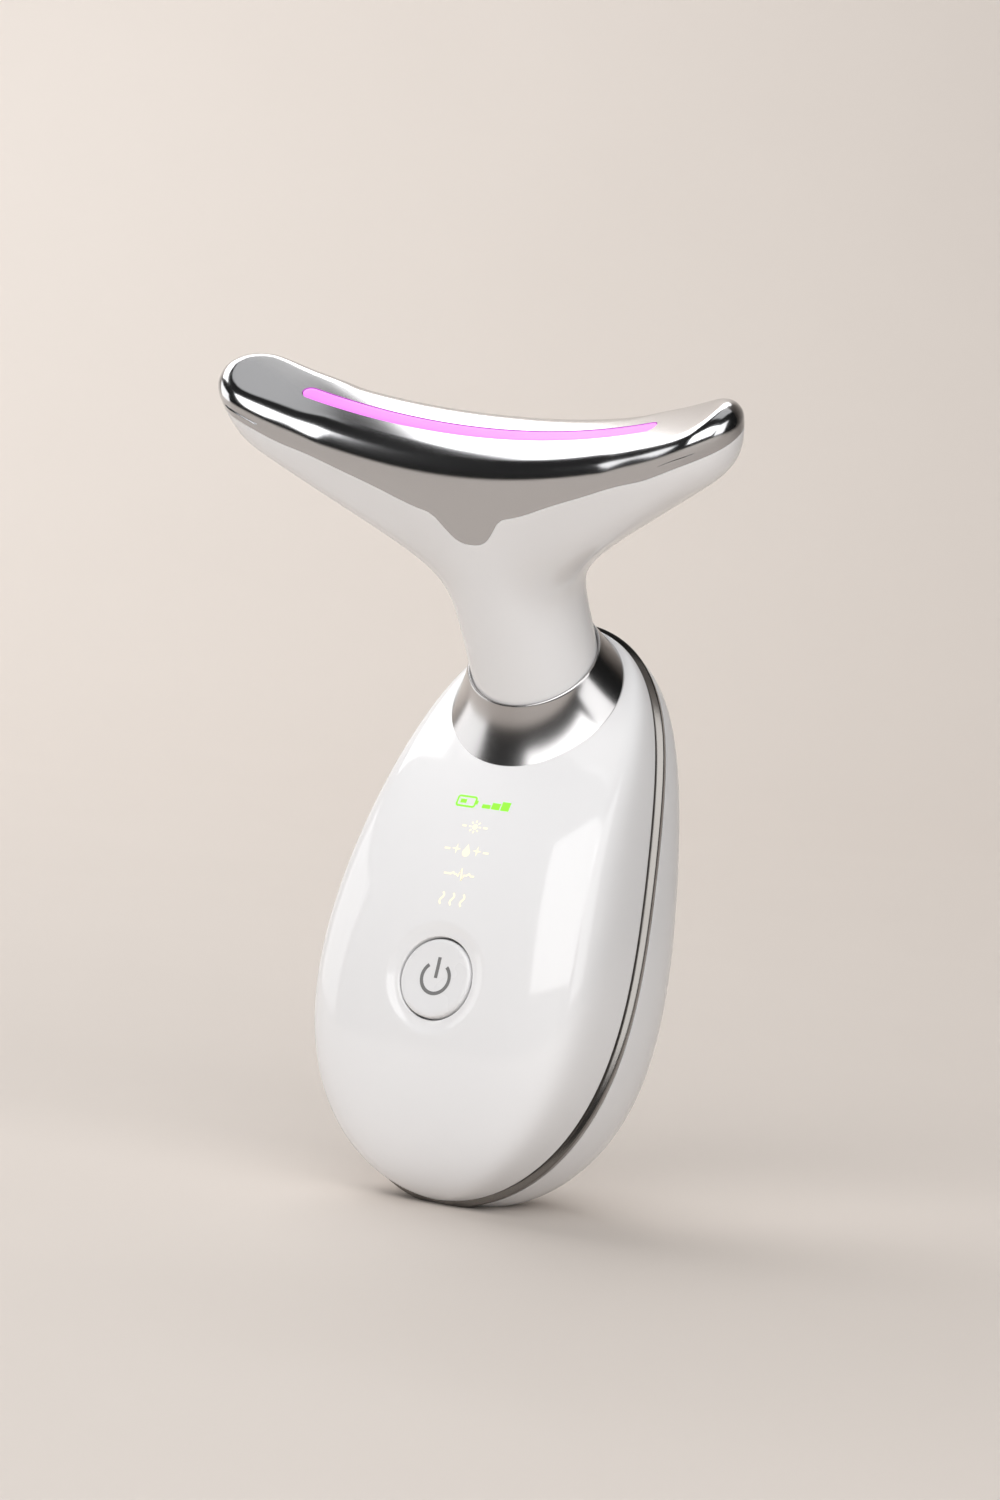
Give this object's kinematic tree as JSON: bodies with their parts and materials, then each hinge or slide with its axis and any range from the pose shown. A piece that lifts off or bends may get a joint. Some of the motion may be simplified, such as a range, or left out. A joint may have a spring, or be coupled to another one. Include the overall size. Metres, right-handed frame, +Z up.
{
  "type": "led face and neck device",
  "caption": "Hand-held face and neck device: egg-shaped handle with metal band, push button and lit display; a leaning neck spreads into a plated bar with a glowing strip.",
  "frame": {"origin": "middle of the flat foot that the handle stands on, in the plane of symmetry", "axes": "+Z is up, away from the foot; -Y is the front, where the button, the display and the bar are; +X is to the right when the front is seen; X = 0 is the plane of symmetry"},
  "size_m": [0.084, 0.046, 0.1174],
  "materials": {
    "shell_white": "gloss",
    "plated": "polished",
    "band_metal": "satin",
    "button_white": "gloss",
    "strip_glow": "frosted",
    "film_amber": "satin",
    "board_green": "satin",
    "lamp_clear": "clear",
    "moulded_black": "matt",
    "screw_steel": "plain",
    "motor_steel": "plain",
    "soft_black": "matt",
    "film_smoke": "satin",
    "frame_grey": "matt",
    "tape_foam": "matt",
    "cell_wrap": "satin",
    "socket_steel": "satin",
    "lead_red": "satin",
    "cable_grey": "satin",
    "contact_brass": "plain"
  },
  "bodies": {
    "handle": {"front_shell": "shell_white", "rear_shell": "shell_white", "electrode_band": "band_metal", "mid_frame": "frame_grey", "collar_ring": "plated", "head_cap": "plated", "head_housing": "shell_white", "light_strip": "strip_glow", "heater_film": "film_amber", "led_board": "board_green", "head_leds": "lamp_clear", "cap_carrier": "moulded_black", "carrier_screws": "screw_steel", "motor_can": "motor_steel", "motor_sleeve": "soft_black", "main_board": "board_green", "board_screws": "screw_steel", "frame_screws": "screw_steel", "neck_screws": "screw_steel", "tact_switch": "moulded_black", "light_guide": "moulded_black", "display_film": "film_smoke", "indicator_leds": "lamp_clear", "battery_tape": "tape_foam", "battery": "cell_wrap", "charge_socket": "socket_steel", "socket_tongue": "moulded_black", "charge_board": "board_green", "head_cable": "cable_grey", "battery_leads": "lead_red", "band_contact": "contact_brass"},
    "button": {"power_button": "button_white", "switch_plunger": "moulded_black"},
    "rotor": {"motor_shaft": "motor_steel", "motor_weight": "motor_steel"}
  },
  "joints": [
    {"name": "button_press", "type": "slide", "parent": "handle", "child": "button", "axis": [0, 0.9592, -0.2827], "range_m": [0, 0.0005], "stiffness_N_per_m": 2400},
    {"name": "motor_spin", "type": "hinge", "parent": "handle", "child": "rotor", "pos_m": [0, -0.00212, 0.08918], "axis": [0, -0.515, 0.8572], "continuous": true}
  ]
}
